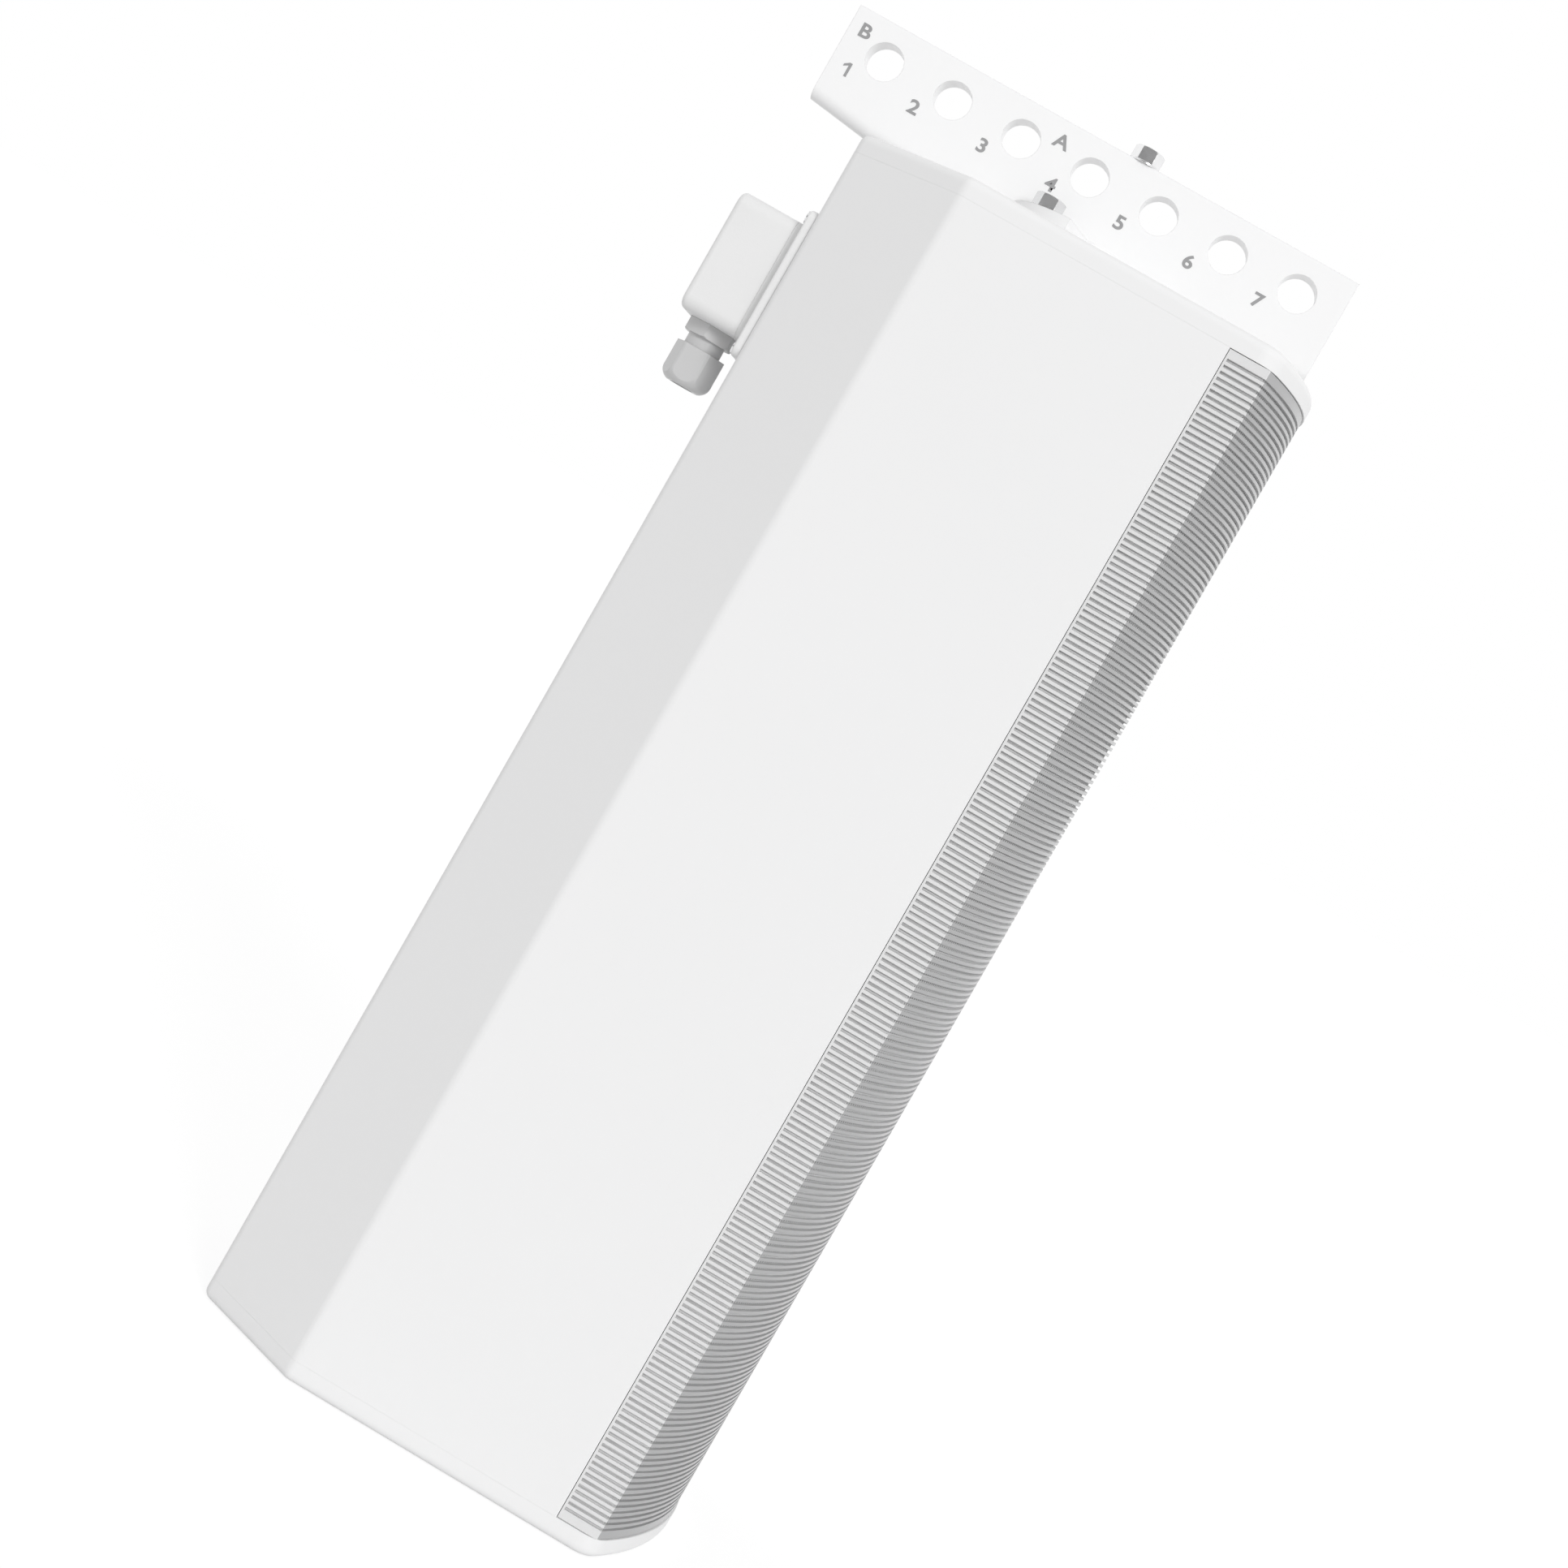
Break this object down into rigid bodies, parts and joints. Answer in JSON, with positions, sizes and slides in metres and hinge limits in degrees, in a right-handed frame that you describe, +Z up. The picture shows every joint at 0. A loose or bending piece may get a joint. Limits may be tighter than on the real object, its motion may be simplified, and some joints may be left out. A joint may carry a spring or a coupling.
{
  "type": "line array speaker",
  "caption": "Tall white column loudspeaker with a bowed slotted grille, a drilled swivelling rigging bar on top and a rear cable box with a gland.",
  "frame": {"origin": "middle of the cabinet's plan, on its flat bottom face", "axes": "+Z up the cabinet, -Y out of the grille, +Y towards the cable box, X across"},
  "size_m": [0.2, 0.3, 0.7317],
  "materials": {
    "cabinet_paint": "smooth white powder coat on aluminium",
    "rigging_paint": "smooth white powder coat on steel",
    "grille_metal": "grey satin coat on the bow, the cabinet white on both side strips",
    "zinc_steel": "zinc plated, satin",
    "box_plastic": "light grey moulded, fine texture",
    "gland_plastic": "grey moulded, satin",
    "seal_rubber": "matt black",
    "cloth": "mid grey acoustic cloth",
    "foam": "charcoal open-cell foam",
    "baffle_wood": "black stained plywood",
    "basket_metal": "black enamel",
    "magnet": "dark grey ferrite and steel",
    "cone_paper": "black coated pulp",
    "dome_silk": "black coated silk",
    "driver_plastic": "black moulded",
    "board": "green solder mask",
    "brass_posts": "bright",
    "copper_wire": "enamelled copper",
    "capacitor_film": "yellow film sleeve",
    "terminal_plastic": "natural nylon"
  },
  "bodies": {
    "cabinet": {"baffle": "baffle_wood", "baffle_screws": "zinc_steel", "board_standoffs": "brass_posts", "bottom_cap": "cabinet_paint", "cabinet_shell": "cabinet_paint", "cap_gaskets": "seal_rubber", "cap_screws": "zinc_steel", "crossover_board": "board", "crossover_capacitors": "capacitor_film", "crossover_coils": "copper_wire", "damping_foam": "foam", "front_grille": "grille_metal", "grille_cloth": "cloth", "grille_ribs": "grille_metal", "junction_base": "box_plastic", "junction_screws": "zinc_steel", "lock_stud": "zinc_steel", "pivot_stud": "zinc_steel", "plate_bolts": "zinc_steel", "rigging_base_plate": "rigging_paint", "rigging_inner_plate": "zinc_steel", "rigging_nuts": "zinc_steel", "rigging_washers": "zinc_steel", "terminal_block": "terminal_plastic", "terminal_screws": "zinc_steel", "top_cap": "cabinet_paint", "tweeter_cups": "driver_plastic", "tweeter_domes": "dome_silk", "tweeter_faceplates": "driver_plastic", "woofer_baskets": "basket_metal", "woofer_magnets": "magnet", "woofer_surrounds": "seal_rubber"},
    "rigging_bar": {"rigging_bar": "rigging_paint", "rigging_foot": "rigging_paint"},
    "junction_hood": {"junction_hood": "box_plastic", "junction_seal": "seal_rubber", "hood_screws": "zinc_steel", "gland_body": "gland_plastic", "gland_seal": "seal_rubber", "gland_locknut": "gland_plastic"},
    "gland_nut": {"gland_dome_nut": "gland_plastic"},
    "cone_1": {"woofer_cone_1": "cone_paper"},
    "cone_2": {"woofer_cone_2": "cone_paper"},
    "cone_3": {"woofer_cone_3": "cone_paper"}
  },
  "joints": [
    {"name": "bar_swivel", "type": "hinge", "parent": "cabinet", "child": "rigging_bar", "pos_m": [0, 0.0066, 0.666], "axis": [0, 0, 1], "range_deg": [-8, 8]},
    {"name": "hood_off", "type": "slide", "parent": "cabinet", "child": "junction_hood", "axis": [0, 1, 0], "range_m": [0, 0.06]},
    {"name": "gland_nut_turn", "type": "hinge", "parent": "junction_hood", "child": "gland_nut", "pos_m": [-0.02, 0.1522, 0.518], "axis": [0, 0, 1], "continuous": true},
    {"name": "cone_stroke_1", "type": "slide", "parent": "cabinet", "child": "cone_1", "axis": [0, -1, 0], "range_m": [-0.003, 0.003], "stiffness_N_per_m": 1500},
    {"name": "cone_stroke_2", "type": "slide", "parent": "cabinet", "child": "cone_2", "axis": [0, -1, 0], "range_m": [-0.003, 0.003], "stiffness_N_per_m": 1500},
    {"name": "cone_stroke_3", "type": "slide", "parent": "cabinet", "child": "cone_3", "axis": [0, -1, 0], "range_m": [-0.003, 0.003], "stiffness_N_per_m": 1500}
  ],
  "couplings": [
    {"joint": "cone_stroke_2", "follows": "cone_stroke_1", "ratio": 1},
    {"joint": "cone_stroke_3", "follows": "cone_stroke_1", "ratio": 1}
  ]
}
